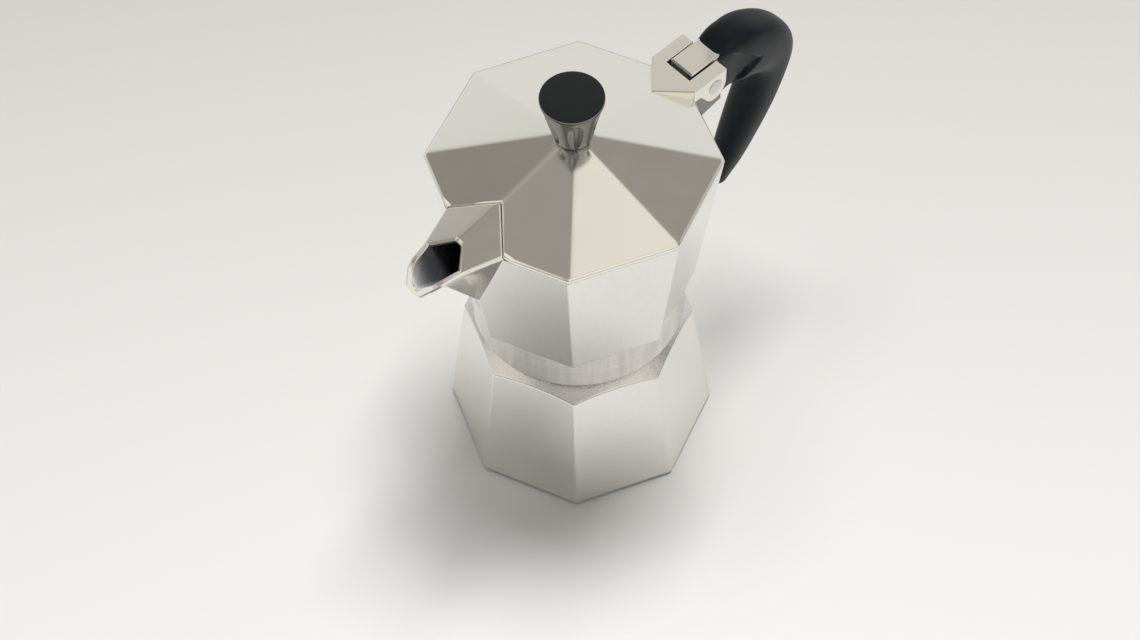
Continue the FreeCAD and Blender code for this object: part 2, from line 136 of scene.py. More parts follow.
# Cast aluminium, satin polished: each lid facet keeps one soft tone.
lidMetal = grainMaterial(
    "cast aluminium satin", metal, "#E9E7E0", "#F0EEE8",
    grain=0.7, cloud=11, share=0.75, rough=(0.11, 0.16), bump=0.02, depth=0.02)

# Cast aluminium as it leaves the mould and the lathe: a fine grain that scatters the light.
shoulderMetal = grainMaterial(
    "cast aluminium grained", metal, "#C6C4C1", "#F3F2F0",
    grain=0.7, cloud=5, share=0.45, rough=(0.16, 0.32), bump=0.5, depth=0.10)

# Cast aluminium left dull inside the spout: dim grey, part of it a matte skin, with painted light that pales
# it towards the lip.
dullMetal = grainMaterial(
    "cast aluminium dull, painted light at the lip", {"Metallic": 0.65}, "#6C6E73", "#8E9095",
    grain=0.8, cloud=(6, 6, 2), share=0.6, rough=(0.20, 0.34), bump=0.03, lip=("#E0E1E3", -65, -56))

# Cast aluminium darkened under the hinge as painted shade: an even mid grey with a fine tooth.
lugShadeMetal = grainMaterial(
    "cast aluminium painted shade", {"Metallic": 0.85}, "#807F7C", "#9C9B98",
    grain=0.5, cloud=6, rough=(0.34, 0.46), bump=0.15)

# Aluminium turned on a lathe: fine rings, drawn at 0.5 mm so that they show, and upright light and dark
# streaks that are painted glints and reflections.
collarMetal = grainMaterial(
    "aluminium turned, painted glints", metal, "#A5A19B", "#F4F2EE",
    grain=(30, 30, 0.5), cloud=(1.8, 1.8, 25), share=0.55, rough=(0.10, 0.22), bump=0.5, depth=0.08)

# Spun aluminium sheet: pale, softer than the cast faces.
spunMetal = grainMaterial(
    "aluminium spun", metal, "#BDBAB4", "#D6D3CD",
    grain=(8, 8, 0.6), cloud=6, share=0.4, rough=(0.32, 0.42), bump=0.2, depth=0.05)

# Drawn steel: grey, with lines along its length.
pinMetal = grainMaterial(
    "steel drawn", metal, "#9C9A96", "#C4C1BC",
    grain=(0.6, 6, 0.6), cloud=3, share=0.3, rough=(0.25, 0.36), bump=0.15, depth=0.04)

# Steel, peened and polished: a bright dimple with a soft grey ring.
headMetal = grainMaterial(
    "steel peened", metal, "#D2CFCC", "#DEDBD8",
    grain=0.9, cloud=4, rough=(0.14, 0.20), bump=0.01, depth=0.02)

# Turned brass: warm yellow, bright, with a slight tarnish.
valveMetal = grainMaterial(
    "brass turned", metal, "#B59049", "#D3B56C",
    grain=0.5, cloud=5, share=0.7, rough=(0.14, 0.26), bump=0.03)

# Phenolic resin straight from a polished mould: black, and bright where it mirrors the lid.
knobGloss = grainMaterial(
    "phenolic black gloss", {"IOR": 2.6}, "#08090A", "#101113",
    grain=0.8, cloud=5, rough=(0.04, 0.08), bump=0.02)

# The same resin with a fine matte texture on the knob's flat top.
knobMatte = grainMaterial(
    "phenolic black matte", {"IOR": 1.4}, "#0C0F11", "#14181A",
    grain=0.5, cloud=6, rough=(0.48, 0.60), bump=0.2, depth=0.04)

# Phenolic resin with a soft moulded finish: black with a grey sheen.
resinShader = {"IOR": 1.38, "Specular Tint": linear("#D8E4F2")}
handleResin = grainMaterial(
    "phenolic black soft", resinShader, "#05070B", "#0B0F15",
    grain=0.7, cloud=12, share=0.6, rough=(0.34, 0.44), bump=0.12, depth=0.04)

# Natural rubber: chalky off-white.
sealRubber = grainMaterial(
    "rubber off-white", {"IOR": 1.5}, "#D8D2C4", "#E8E3D7",
    grain=0.8, cloud=7, rough=(0.6, 0.75), bump=0.2, depth=0.05)

# Silicone rubber of the valve seat: brick red.
valveRubber = grainMaterial(
    "silicone red", {"IOR": 1.45}, "#6E2A20", "#86382B",
    grain=0.6, cloud=3, rough=(0.45, 0.6), bump=0.15)
print("materials made")


# surface helpers

def eased01(value):
    # soft step from 0 to 1
    value = np.clip(value, 0, 1)
    return value * value * (3 - 2 * value)


def coords(*parts):
    # coordinates side by side in the last axis
    return np.stack(parts, -1)


def gridFaces(rows, cols, closeRows=False, closeCols=True):
    # quads between neighbouring rows and columns of a grid
    a, b = np.mgrid[:rows if closeRows else rows - 1, :cols if closeCols else cols - 1]
    c, d = (a + 1) % rows, (b + 1) % cols
    return np.stack([a * cols + b, a * cols + d, c * cols + d, c * cols + b], -1).reshape(-1, 4)


# rows that a rounded corner takes: 5 on its curve and 1 on either side
cornerRows = 7


def roundedRows(points, cuts, steps=4, closed=False, support=0.3):
    # Each corner of the profile gives way to a parabola that leaves and joins its two sides `cut` from the
    # corner, with one more row on each side so that the flats stay flat. Points are (corner, column, 2).
    # A short side limits the cut and the extra row to these shares of it.
    cutShare, rowShare = 0.4, 0.48
    points = np.asarray(points, float)
    rows = []
    t = np.linspace(0, 1, steps + 1)[:, None, None]
    last = len(points) - 1
    for i, (p, cut) in enumerate(zip(points, cuts)):
        if cut == 0 or (not closed and i in (0, last)):
            rows.append(p[None])
            continue
        before, after = points[i - 1] - p, points[(i + 1) % (last + 1)] - p
        far, near = [], []
        for side in (before, after):
            length = np.linalg.norm(side, axis=1, keepdims=True) + 1e-9
            near.append(p + side / length * np.minimum(cut, cutShare * length))
            far.append(p + side / length * np.minimum(cut + support, rowShare * length))
        curve = (1 - t) ** 2 * near[0] + 2 * t * (1 - t) * p + t ** 2 * near[1]
        rows += [far[0][None], curve, far[1][None]]
    return join(rows)


def rings(corners, cols):
    # profile corners, as radius and height, that are the same all the way round
    return [np.tile([float(r), float(z)], (cols, 1)) for r, z in corners]


def spin(profile, turn):
    # carries (radius, height) columns round Z: x = r cos, y = r sin
    r, z = profile[..., 0], profile[..., 1]
    return coords(r * np.cos(turn), r * np.sin(turn), z)


def octagonColumns(cornerRound, arcSteps=6, flatSteps=12, flatSpan=(0.08, 0.92), support=0.006):
    # Polar angles and radii round an octagon of unit corner radius whose corners are arcs.
    centre = 1 - cornerRound / np.cos(eighth)
    a = np.linspace(-eighth, eighth, arcSteps + 1)
    arc = coords(centre + cornerRound * np.cos(a), cornerRound * np.sin(a))
    cos, sin = np.cos(2 * eighth), np.sin(2 * eighth)
    nextStart = arc[0] @ np.array([[cos, sin], [-sin, cos]])
    t = join([[support], np.linspace(*flatSpan, flatSteps), [1 - support]])[:, None]
    side = join([arc, arc[-1] + (nextStart - arc[-1]) * t])
    angle = np.arctan2(side[:, 1], side[:, 0])
    radius = np.hypot(side[:, 0], side[:, 1])
    turn = (angle[None] + 2 * eighth * np.arange(8)[:, None]).ravel()
    return turn, np.tile(radius, 8)


def smoothCurve(knots, values, at):
    # natural cubic through the stations, solved as one small linear system
    n = len(knots)
    h = np.diff(knots)
    m = np.zeros((n, n))
    m[0, 0] = m[-1, -1] = 1
    i = np.arange(1, n - 1)
    m[i, i - 1], m[i, i], m[i, i + 1] = h[:-1], 2 * (h[:-1] + h[1:]), h[1:]
    slope = np.diff(values, axis=0) / h[:, None]
    right = np.zeros_like(values)
    right[1:-1] = 6 * np.diff(slope, axis=0)
    bend = np.linalg.solve(m, right)
    k = np.clip(np.searchsorted(knots, at) - 1, 0, n - 2)
    u, w, s = (at - knots[k])[:, None], (knots[k + 1] - at)[:, None], h[k][:, None]
    return ((bend[k] * w ** 3 + bend[k + 1] * u ** 3) / (6 * s) + (values[k] / s - bend[k] * s / 6) * w
            + (values[k + 1] / s - bend[k + 1] * s / 6) * u)


# screw thread: half widths of root and crest, share of a turn to run out, and the rows' step
thread = {"rootHalf": 0.85, "crestHalf": 0.35, "runOut": 0.1, "step": 0.22}


def helixRidge(turn, z, d):
    # 1 on the crest of a screw ridge, 0 between its turns, easing to 0 at both ends
    winding = (turn % (2 * np.pi)) / (2 * np.pi)
    rise = (z - d["threadStart"]) / d["pitch"]
    nth = np.round(rise - winding)
    gap = np.abs(rise - winding - nth) * d["pitch"]
    flank = eased01((thread["rootHalf"] - gap) / (thread["rootHalf"] - thread["crestHalf"]))
    run = nth + winding
    return flank * np.clip(np.minimum(run, d["threadTurns"] - run) / thread["runOut"], 0, 1)


def breakEdges(piece, name, width, segments, degrees):
    # a bevel on the edges that are sharper than an angle
    edge = piece.modifiers.new(name, "BEVEL")
    edge.width, edge.segments, edge.limit_method = width * mm, segments, "ANGLE"
    edge.angle_limit = np.radians(degrees)
    return edge


# metres within which points are one, and edges are nothing
merge = {"points": 1e-7, "edges": 1e-8}


def makePiece(name, surface, body, looks, sharp=None, bevel=None, turnOut=False):
    # puts a surface in millimetres into a mesh, merges its poles and seams, and lets it ride on a body
    points, faces, *faceLook = surface
    mesh = bpy.data.meshes.new(name)
    mesh.from_pydata((np.asarray(points).reshape(-1, 3) * mm).tolist(), [],
                     faces if isinstance(faces, list) else faces.tolist())
    for look in looks:
        mesh.materials.append(look)
    if faceLook:
        mesh.polygons.foreach_set("material_index", np.asarray(faceLook[0], np.int32))
    b = bmesh.new()
    b.from_mesh(mesh)
    bmesh.ops.remove_doubles(b, verts=b.verts, dist=merge["points"])
    bmesh.ops.dissolve_degenerate(b, edges=b.edges, dist=merge["edges"])
    if turnOut:
        bmesh.ops.recalc_face_normals(b, faces=b.faces)
    b.to_mesh(mesh)
    b.free()
    mesh.polygons.foreach_set("use_smooth", np.ones(len(mesh.polygons), bool))
    if sharp:
        mesh.set_sharp_from_angle(angle=np.radians(sharp))
    piece = bpy.data.objects.new(name, mesh)
    link(piece)
    if bevel:
        breakEdges(piece, "soft edges", bevel, segments=3, degrees=28).harden_normals = True
    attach(piece, body)
    print("made", name, len(mesh.polygons), "faces")
    return piece


# boiler

# "hollow" is the inside's radius and height from the neck down, and each "Round" list is cuts along a profile
boiler = {"base": 45.5, "top": 38.2, "height": 53.5, "rise": 0.5, "neck": 31.7, "rim": 70, "bore": 29.2,
          "crest": 32.75, "pitch": 3, "threadStart": 60.2, "threadTurns": 8.2 / 3, "edge": 0.028,
          "neckFoot": 1.5, "threadLow": 1.8, "threadHigh": 0.7, "rimRow": 0.6,
          "hollow": [(29.2, 53.5), (32, 50), (38.5, 6.7), (35.8, 4), (0, 4)],
          "outsideRound": [0, 1.8, 0.55, 0.3, 0], "insideRound": [0, 0.4, 0.4, 1, 2, 1.2, 1.2, 0]}


def boilerShell(b):
    # A corner radius that shrinks steadily with height meets a cone that rises inwards by half: both are
    # straight in r and z, so the scalloped shoulder line has a closed form. The neck is round and threaded.
    turn, unit = octagonColumns(b["edge"])
    cols = len(turn)
    fall = (b["base"] - b["top"]) / b["height"]
    coneTop = b["height"] + b["top"] * b["rise"]
    edgeR = unit * (b["base"] - fall * coneTop) / (1 - fall * b["rise"] * unit)
    edgeZ = coneTop - b["rise"] * edgeR
    root = coneTop - b["rise"] * b["neck"]
    outside = roundedRows(
        rings([(0, 0)], cols) + [coords(b["base"] * unit, 0 * unit), coords(edgeR, edgeZ)]
        + rings([(b["neck"], root), (b["neck"], root + b["neckFoot"])], cols), b["outsideRound"])
    z = np.arange(root + b["threadLow"], b["rim"] - b["threadHigh"], thread["step"])[:, None]
    ridge = helixRidge(turn[None], z, b)
    screw = coords(b["neck"] + (b["crest"] - b["neck"]) * ridge, z + 0 * ridge)
    rim = [(b["neck"], b["rim"] - b["rimRow"]), (b["neck"], b["rim"]), (b["bore"], b["rim"])]
    inside = roundedRows(rings(rim + b["hollow"], cols), b["insideRound"])
    profile = join([outside, screw, inside])
    faces = gridFaces(len(profile), cols)
    # facets are tumbled up to the shoulder's edge, the shoulder is grained, and the rest is turned
    row = np.repeat(np.arange(len(profile) - 1), cols)
    facetEnd = 1 + cornerRows + cornerRows // 2
    shoulderEnd = len(outside) - 1 - cornerRows // 2
    look = np.where(row < facetEnd, 0, np.where(row < shoulderEnd, 1, 2))
    return spin(profile, turn), faces, look


boilerPiece = makePiece("boilerShell", boilerShell(boiler), "boiler",
                        [boilerMetal, shoulderMetal, collarMetal])
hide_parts("boiler")


# collector

# "seat" is radius and height from the floor's hole, past the gasket's seat, to the top of the thread. Each
# "vee" is where the opening for the spout starts, and its half width per height above that.
collector = {"bottom": 76.3, "bottomRadius": 38.15, "rim": 135, "rimRadius": 45.9, "wall": 2.814,
             "floor": 79, "collar": 35.2, "collarBottom": 60.7, "bore": 33.2, "crest": 32.1, "pitch": 3,
             "threadStart": 61.7, "threadTurns": 7.2 / 3, "threadTop": 70.2, "threadLow": 0.7, "edge": 0.026,
             "wallRows": 26, "wallLow": 3, "wallHigh": 1.2, "wallFoot": 2, "rimRow": 1.1, "floorRow": 2.9,
             "footRow": 0.6, "footStart": 1.5, "footEnd": 1.4,
             "seat": [(6, 79), (6, 76.55), (24.2, 74.75), (28.2, 74.75), (28.2, 73.9), (31.9, 73.9),
                      (31.9, 71.45), (33.2, 70.85), (33.2, 70.3)],
             "lowerRound": [0, 0.6, 0.12, 0.55, 0], "rimRound": [0, 0.35, 0.35, 0], "floorRound": 2,
             "footRound": [0, 0.3, 0], "veeOut": (101, 0.347), "veeIn": (105, 0.375)}

# spout: x, half width and height of the top edge, keel height
spoutOuter = np.array([
    (-38.3, 13.64, 136.2, 95.2), (-40.9, 12.7, 136.15, 99.5), (-47, 10.5, 135.75, 109.7),
    (-53.6, 8.2, 135.25, 120.6), (-59.4, 7.1, 134.6, 125.2), (-62.3, 5.9, 133.4, 127.2),
    (-65.3, 3.3, 130.4, 128.8)])
# inside of the spout: x, half width at the top, keel height
spoutInner = np.array([
    (-38.3, 11.74, 103.4), (-40.9, 10.8, 106.5), (-47, 8.6, 113.8), (-53.6, 6.3, 124),
    (-59.4, 5.2, 128.2), (-62, 3.9, 129.8), (-63.8, 1.9, 131), (-65.3, 1.2, 130.38)])
# rows: those inside the wall, then two even runs as start, end and count
spout = {"inWall": (-38.3, -40.4, -40.5), "runs": ((-41.2, -62.3, 24), (-62.8, -65.3, 8)), "lidEdge": -40.45,
         "underLid": 134.9, "chamfer": 0.8, "lipChamfer": 0.4, "chamferFrom": -54, "leastWall": 0.03,
         "keelRound": 1.2, "inKeelRound": 0.8, "edgeRound": 0.12, "rimRound": 0.25,
         "dullEnd": -64}


def along(table, x, column):
    # straight-line value of one column of a station table
    return np.interp(x, table[::-1, 0], table[::-1, column])


def collectorShell(c):
    # The wall is an octagon whose corner radius grows steadily with height. Collar, seat and bore are round.
    # On the spout's corner both skins stop at a V: the columns of the two facets there slide away from the
    # corner by the V's half width at that height, and the cells left across the V are dropped.
    turn, unit = octagonColumns(c["edge"])
    cols = len(turn)
    grow = (c["rimRadius"] - c["bottomRadius"]) / (c["rim"] - c["bottom"])

    def wallAt(z, inset):
        return coords((c["bottomRadius"] + grow * (z - c["bottom"]) - inset) * unit, z + 0 * unit)

    levels = np.linspace(c["bottom"] + c["wallLow"], c["rim"] - c["wallHigh"], c["wallRows"])
    collar = [(c["collar"] - c["footStart"], c["collarBottom"]), (c["collar"], c["collarBottom"]),
              (c["collar"], c["bottom"])]
    wallFoot = [wallAt(c["bottom"], 0), wallAt(c["bottom"] + c["wallFoot"], 0)]
    lower = roundedRows(rings(collar, cols) + wallFoot, c["lowerRound"])
    outer = np.stack([wallAt(z, 0) for z in levels])
    underRim = c["rim"] - c["rimRow"]
    top = roundedRows([wallAt(underRim, 0), wallAt(c["rim"], 0), wallAt(c["rim"], c["wall"]),
                       wallAt(underRim, c["wall"])], c["rimRound"])
    # the inner skin ends above the curve of the floor
    inner = np.stack([wallAt(z, c["wall"]) for z in levels[:2:-1]])
    inside = roundedRows([wallAt(c["floor"] + c["floorRow"], c["wall"]), wallAt(c["floor"], c["wall"])]
                         + rings(c["seat"], cols), [0, c["floorRound"]] + [0] * len(c["seat"]))
    z = np.arange(c["threadTop"], c["collarBottom"] + c["threadLow"], -thread["step"])[:, None]
    ridge = helixRidge(turn[None], z, c)
    screw = coords(c["bore"] - (c["bore"] - c["crest"]) * ridge, z + 0 * ridge)
    foot = roundedRows(rings([
        (c["bore"], c["collarBottom"] + c["footRow"]), (c["bore"], c["collarBottom"]),
        (c["collar"] - c["footEnd"], c["collarBottom"])], cols), c["footRound"])
    parts = [lower, outer, top, inner, inside, screw, foot]
    profile = join(parts)
    starts = np.cumsum([0] + [len(p) for p in parts])
    points = spin(profile, turn)
    rows = len(profile)
    # half width of the V, a little inside the spout's metal on either skin
    rowNumber = np.arange(rows)[:, None]
    veeOut, veeIn = ((profile[..., 1] - c[key][0]) * c[key][1] for key in ("veeOut", "veeIn"))
    vee = np.where(rowNumber < (starts[2] + starts[3]) / 2, veeOut, veeIn)
    inWall = (rowNumber >= starts[1]) & (rowNumber < starts[4])
    vee = np.where(inWall, np.maximum(vee, 0), 0)
    fromCorner = turn % (2 * np.pi) - np.pi
    onSide = np.abs(fromCorner) <= 2 * eighth + 1e-9
    y = points[..., 1]
    end = profile[..., 0].max(1)[:, None] * np.sin(2 * eighth)
    slid = np.where(onSide & (vee > 0), np.sign(y) * (vee + (1 - vee / end) * np.abs(y)), y)
    points[..., 0] += np.where(onSide, np.abs(slid - y) * np.tan(eighth), 0)
    points[..., 1] = slid
    faces = gridFaces(rows, cols, closeRows=True)
    row = np.repeat(np.arange(rows), cols)
    corners = points.reshape(-1, 3)[faces]
    across = np.sign(np.round(corners[..., 1], 6))
    hole = (vee[row, 0] > 0) & (vee[(row + 1) % rows, 0] > 0) & (corners[..., 0].max(1) < 0) & (
        across.min(1) < 0) & (across.max(1) > 0)
    # the collar is turned, the wall and rim are polished, the inside is grained down to the floor
    polishedFrom, grainedEnd = len(lower) - cornerRows, starts[4] + 1 + cornerRows
    look = np.where(row < polishedFrom, 1, np.where(row < starts[3], 0, np.where(row < grainedEnd, 2, 1)))
    return points, faces[~hole], look[~hole]


collectorPiece = makePiece("collectorShell", collectorShell(collector), "collector",
                           [facetMetal, collarMetal, shoulderMetal])
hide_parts("collector")


def spoutChannel(s):
    # A V section with a flat rim and a chamfer along its outer top edge, carried straight along X from inside
    # the wall to the lip. Under the lid the rim stays below the lid's edge.
    x = join([s["inWall"]] + [np.linspace(*run) for run in s["runs"]])
    half, edge, keel = (along(spoutOuter, x, k) for k in (1, 2, 3))
    inHalf, inKeel = along(spoutInner, x, 1), np.minimum(along(spoutInner, x, 2), edge - s["leastWall"])
    top = np.where(x > s["lidEdge"], s["underLid"], edge)
    half = half * (top - keel) / (edge - keel)
    inHalf = inHalf * (top - inKeel) / (edge - inKeel)
    cut = np.interp(x, [x[-1], s["chamferFrom"]], [s["lipChamfer"], s["chamfer"]])
    y = np.stack([0 * x, half, half - cut, inHalf, 0 * x, -inHalf, cut - half, -half])
    z = np.stack([keel, top - cut, top, top, inKeel, top, top, top - cut])
    e, rim = s["edgeRound"], s["rimRound"]
    section = roundedRows(coords(y, z), [s["keelRound"], e, e, rim, s["inKeelRound"], rim, e, e],
                          closed=True, support=e)
    placed = coords(np.broadcast_to(x, section.shape[:2]), section[..., 0], section[..., 1])
    points = placed.transpose(1, 0, 2)
    rows, cols = points.shape[:2]
    faces = gridFaces(rows, cols)
    # outside, rim and lip are polished, and the channel is dull from one inner rim edge to the other
    row, col = np.divmod(np.arange(len(faces)), cols)
    dullFrom, dullTo = 4 * cornerRows - 3, 5 * cornerRows + 2
    look = np.where((col >= dullFrom) & (col < dullTo) & (x[row] > s["dullEnd"]), 1, 0)
    ends = [list(range(cols)), [(rows - 1) * cols + k for k in range(cols)][::-1]]
    return points, faces[:, ::-1].tolist() + ends, join([look, [0, 0]])


spoutPiece = makePiece("spoutChannel", spoutChannel(spout), "collector",
                       [facetMetal, dullMetal], sharp=35, turnOut=True)
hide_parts("collector")

roof = {"apex": -29.62, "back": (-39.9, 12.08), "mouthX": -47, "mouthHalf": 1.3, "front": (-53.6, 7.4),
        "thick": 1.8, "ridgeTop": 141.1, "fall": 0.168, "cross": 0.232, "ridgeSoft": 0.3, "backRound": 0.85,
        "chamfer": 0.9, "mouthRound": 0.12, "ridgeShares": (0.03, 0.06, 0.12, 0.18),
        "sideShares": (0.25, 1, 11), "flatShares": (0.1, 0.9, 9)}


def spoutRoof(r):
    # Two flat slopes either side of a ridge on the X axis: height falls steadily along X and with |y|.
    # Each column is a profile from the lid's notch, over a rounded edge, to the chamfer round the mouth.
    one = join([r["ridgeShares"], np.linspace(*r["sideShares"])])
    t = join([-one[::-1], [0], one])
    a = np.abs(t)
    back = coords(r["apex"] + a * (r["back"][0] - r["apex"]), t * r["back"][1])
    mouth = [0, r["ridgeShares"][-1], 1]
    front = coords(np.interp(a, mouth, [r["mouthX"], r["mouthX"], r["front"][0]]),
                   np.interp(a, mouth, [0, r["mouthHalf"], r["front"][1]]) * np.sign(t))
    reach = np.linalg.norm(front - back, axis=1)
    flatEnd = reach - r["chamfer"]
    middle = np.linspace(*r["flatShares"])[:, None] * flatEnd
    run = join([[0 * reach, 0 * reach], middle, [flatEnd, reach, reach]])
    drops = [r["thick"]] + [0] * (len(middle) + 2) + [r["chamfer"], r["thick"]]
    drop = np.array(drops)[:, None] + 0 * run
    rounds = [0, r["backRound"]] + [0] * len(middle) + [r["mouthRound"], r["mouthRound"], 0]
    profile = roundedRows(coords(run, drop), rounds)
    share = profile[..., 0] / reach
    x, y = (back[:, k] + (front - back)[:, k] * share for k in (0, 1))
    ridge = r["ridgeTop"] - r["fall"] * (r["apex"] - x)
    z = ridge - r["cross"] * (np.sqrt(y ** 2 + r["ridgeSoft"] ** 2) - r["ridgeSoft"]) - profile[..., 1]
    rows, cols = x.shape
    flank = np.arange(rows) * cols
    faces = gridFaces(rows, cols, closeRows=True, closeCols=False).tolist()
    return coords(x, y, z), faces + [flank.tolist(), (flank + cols - 1).tolist()]


roofPiece = makePiece("spoutRoof", spoutRoof(roof), "collector", [lidMetal], sharp=40,
                      turnOut=True)
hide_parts("collector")

# the two levels lie between the foot and the rounded top
lug = {"inner": 45.35, "end": 59.25, "half": 4.65, "corner": 0.45, "top": 141, "foot": 114.5,
       "footRise": 4, "levels": (133.5, 135.5), "root": 40.6, "rootTop": 43, "topRound": 0.6,
       "topRows": 6, "frontInset": 0.95, "sideInset": 0.5, "endInset": 0.3, "shadeColumn": 11}


def lugBlock(g):
    # Rounded rectangles stacked up Z: the front starts in the wall and steps back to the hinge's slot, and
    # the last rings draw in along a quarter ellipse, most at the front.
    q = np.linspace(0, np.pi / 2, g["topRows"])
    draw = join([np.zeros(3), 1 - np.cos(q)])
    front = g["inner"] + g["frontInset"] * draw[3:]
    x0 = join([[g["root"], g["rootTop"], g["inner"]], front])[:, None]
    x1 = (g["end"] - g["endInset"] * draw)[:, None]
    y1 = (g["half"] - g["sideInset"] * draw)[:, None]
    a = np.radians(np.arange(4)[:, None] * 90 - 90 + np.array([0, 30, 60, 90])).ravel()
    isEnd = np.repeat([True, True, False, False], 4)
    isLeft = np.repeat([False, True, True, False], 4)
    c = g["corner"]
    x = np.where(isEnd, x1 - c, x0 + c) + c * np.cos(a)
    y = np.where(isLeft, y1 - c, c - y1) + c * np.sin(a)
    height = join([[g["foot"], *g["levels"]], g["top"] - g["topRound"] + g["topRound"] * np.sin(q)])
    z = height[:, None] + 0 * x
    z[0] += (x[0] - g["root"]) * g["footRise"] / (g["end"] - g["root"])
    rows, cols = x.shape
    last = np.arange(cols)
    faces = gridFaces(rows, cols).tolist() + [last[::-1].tolist(), (last + (rows - 1) * cols).tolist()]
    # satin on top, with darker metal as painted shade on the flanks and up round one front edge
    row, col = np.divmod(np.arange((rows - 1) * cols), cols)
    shadedFrontEdge = (row < rows - 2) & (np.abs(col - g["shadeColumn"]) < 2)
    look = join([(row < 3) | shadedFrontEdge, [True, False]])
    return coords(x, y, z), faces, look


lugPiece = makePiece("hingeLug", lugBlock(lug), "collector", [lidMetal, lugShadeMetal],
                     sharp=40, turnOut=True)
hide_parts("collector")


# lid

# "cornerSide" and "notchSide" are columns in degrees from a corner and from the notch's middle, and the notch
# meets the octagon at "meet". Shares are of the way from the middle to the edge.
lid = {"bottom": 135.2, "edge": 136.7, "radius": 46, "slope": 0.264, "flat": 5.5, "wall": 1.7, "lip": 3.1,
       "notchApex": 29.51, "notchRun": 10.8, "notchHalf": 12.7, "notchLip": 0.7, "notchRound": 0.8,
       "notchReach": 40, "soft": 2.6, "edgeRound": 0.55, "edgeRow": 0.5, "lowRound": 0.3, "cornerCut": 0.0022,
       "cornerWide": 0.9, "capDrop": 0.2, "meet": 16.96, "meetSide": 0.4,
       "cornerSide": np.array([0.35, 0.8, 1.4, 2.2, 3.5, 5.5, 8.5, 12.5, 17]),
       "notchSide": np.array([0.25, 0.7, 1.5, 3, 5, 8, 11, 14]),
       "topShares": (0, 0.06, 0.12, 0.16), "outerShares": (0.2, 0.94, 16),
       "underShares": (0.9, 0.7, 0.5, 0.3, 0.15)}


def lidHeight(x, y, d):
    # The pyramid's height falls with the octagon radius of a point, which is a soft greatest of eight
    # straight distances, so the ridges are rounded.
    facing = eighth * (2 * np.arange(8) + 1)
    reach = (x[..., None] * np.cos(facing) + y[..., None] * np.sin(facing)) / np.cos(eighth)
    top = reach.max(-1)
    radius = top + np.log(np.exp(d["soft"] * (reach - top[..., None])).sum(-1)) / d["soft"]
    return d["edge"] + d["slope"] * (d["radius"] - np.maximum(radius, d["flat"]))


def lidShell(d):
    # A height field over a star-shaped outline: octagon all round, V notch on the spout's side.
    side, meet, gap = d["cornerSide"], d["meet"], d["meetSide"]
    one = join([-side[::-1], [0], side, [22.5]])
    degrees = (one[None] + 45 * np.arange(8)[:, None]).ravel() % 360
    keep = np.abs(degrees - 180) > meet + 2 * gap
    notch = join([d["notchSide"], [meet - gap, meet, meet + gap]])
    degrees = np.sort(join([degrees[keep], 180 + notch, 180 - notch, [180]]))
    turn = np.radians(degrees)
    flatUnit = np.cos(eighth) / np.cos((turn % (2 * eighth)) - eighth)
    corner = np.abs((degrees + 22.5) % 45 - 22.5)
    outline = d["radius"] * (flatUnit - d["cornerCut"] * np.exp(-(corner / d["cornerWide"]) ** 2))
    off = np.abs(degrees - 180)
    t = np.tan(np.radians(np.minimum(off, d["notchReach"])))
    k = d["notchApex"] * t / np.maximum(d["notchHalf"] - d["notchRun"] * t, 1e-6)
    vee = np.hypot(d["notchApex"] + d["notchRun"] * k, d["notchHalf"] * k)
    inNotch = (off < d["notchReach"]) & (vee < outline)
    outline = np.where(inNotch, vee, outline)
    cos, sin = np.cos(turn), np.sin(turn)

    def ring(radius, z):
        return coords(radius * cos, radius * sin, z)

    def atRadius(radius, drop=0):
        return ring(radius, lidHeight(radius * cos, radius * sin, d) - drop)

    # over the top to the edge, round it, down the rim, round its foot, and back under the lid
    e, foot = np.where(inNotch, d["notchRound"], d["edgeRound"]), d["lowRound"]
    rows = [atRadius(s * outline) for s in (*d["topShares"], *np.linspace(*d["outerShares"]))]
    rows += [atRadius(outline - e - d["edgeRow"]), atRadius(outline - e)]
    rim = lidHeight(outline * cos, outline * sin, d)
    low = np.where(inNotch, np.maximum(rim - d["wall"], d["bottom"]), d["bottom"])
    rows += [ring(outline - e + e * np.sin(q), rim - e + e * np.cos(q))
             for q in np.linspace(0, np.pi / 2, 5)[1:]]
    rows.append(ring(outline, (rim + low) / 2))
    rows += [ring(outline - foot + foot * np.cos(q), low + foot - foot * np.sin(q))
             for q in np.linspace(0, np.pi / 2, 4)]
    under = outline - np.where(inNotch, d["notchLip"], d["lip"])
    ceiling = atRadius(under, d["wall"])
    rows += [ring(under, np.minimum(low, ceiling[:, 2])), ceiling]
    rows += [atRadius(s * under, d["wall"]) for s in d["underShares"]]
    rows.append(atRadius(0 * under, d["wall"] + d["capDrop"]))
    points = np.stack(rows)
    return points, gridFaces(len(rows), len(turn))[:, ::-1]


lidPiece = makePiece("lidShell", lidShell(lid), "lid", [lidMetal], sharp=40)
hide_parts("lid")

leaf = {"apex": 32.5, "shoulder": 42.2, "half": 9.8, "slot": 5.1, "slotTop": 44.25, "slotLow": 42.6,
        "end": 55.9, "top": 140.5, "bottom": 135.2, "pin": (51, 135.5), "ear": 4.9, "earDeep": 6.2,
        "earEnd": 152, "slantEnd": 44.7, "arcSteps": 14, "edge": 0.45}


